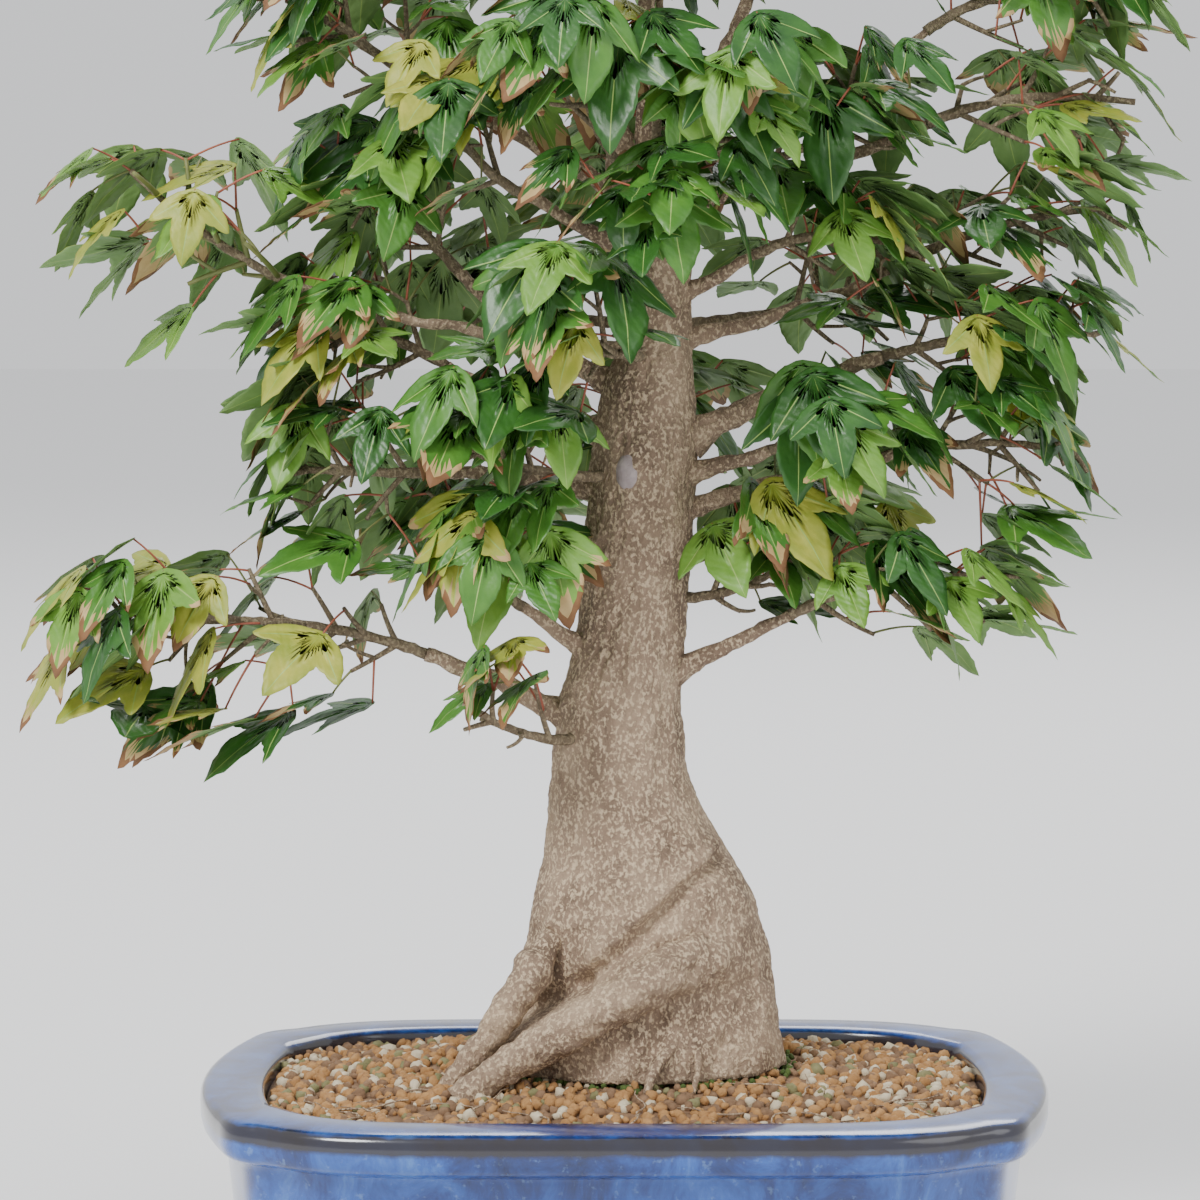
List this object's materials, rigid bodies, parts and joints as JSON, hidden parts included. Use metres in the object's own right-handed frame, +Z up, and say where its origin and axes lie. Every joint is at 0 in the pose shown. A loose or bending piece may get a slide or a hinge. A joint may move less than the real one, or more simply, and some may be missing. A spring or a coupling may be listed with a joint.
{
  "type": "potted trident maple bonsai",
  "caption": "Broad bonsai tree with a thick flared trunk, spreading boughs and three-lobed leaves, standing in a low glazed rectangular pot with lobed corners.",
  "frame": {"origin": "centre of the plant's bounding box at the underside of the pot's feet", "axes": "+X to the right and +Y to the back as seen in the picture, +Z up"},
  "size_m": [0.4332, 0.2668, 0.5891],
  "materials": {
    "pot": "mottled cobalt blue glaze over dark clay, brown-black where it thins at the edges",
    "soil": "loose orange-brown and cream grit, with moss near the trunk",
    "bark": "pinkish grey-brown bark with tan flakes and raised pores",
    "leaf": "green leaves with paler undersides, some with tan and brown tips"
  },
  "bodies": {
    "root": {"bough_back_high": "bark", "bough_back_low": "bark", "bough_leader_left": "bark", "bough_leader_middle": "bark", "bough_leader_right": "bark", "bough_left_inner": "bark", "bough_left_low": "bark", "bough_left_middle": "bark", "bough_left_middle_low": "bark", "bough_left_shoot": "bark", "bough_left_shoulder": "bark", "bough_left_top": "bark", "bough_left_upper": "bark", "bough_right_low": "bark", "bough_right_middle": "bark", "bough_right_middle_inner": "bark", "bough_right_middle_outer": "bark", "bough_right_outer": "bark", "bough_right_shoulder": "bark", "bough_right_top": "bark", "bough_right_upper": "bark", "foliage_back_left": "leaf", "foliage_back_low_left": "leaf", "foliage_back_low_right": "leaf", "foliage_back_middle": "leaf", "foliage_back_right": "leaf", "foliage_back_upper": "leaf", "foliage_front_low": "leaf", "foliage_front_middle": "leaf", "foliage_front_top": "leaf", "foliage_front_upper": "leaf", "foliage_left_inner": "leaf", "foliage_left_low": "leaf", "foliage_left_low_spur": "leaf", "foliage_left_middle": "leaf", "foliage_left_middle_inner": "leaf", "foliage_left_middle_low": "leaf", "foliage_left_shoot": "leaf", "foliage_left_shoulder": "leaf", "foliage_left_top": "leaf", "foliage_left_upper": "leaf", "foliage_right_inner_low": "leaf", "foliage_right_low": "leaf", "foliage_right_middle": "leaf", "foliage_right_middle_inner": "leaf", "foliage_right_middle_outer": "leaf", "foliage_right_outer": "leaf", "foliage_right_shoulder": "leaf", "foliage_right_top": "leaf", "foliage_right_upper": "leaf", "foliage_right_upper_inner": "leaf", "foliage_top_back": "leaf", "foliage_top_centre": "leaf", "foliage_top_front": "leaf", "foliage_top_left": "leaf", "foliage_top_right": "leaf", "pot": "pot", "soil": "soil", "trunk": "bark"}
  },
  "joints": []
}
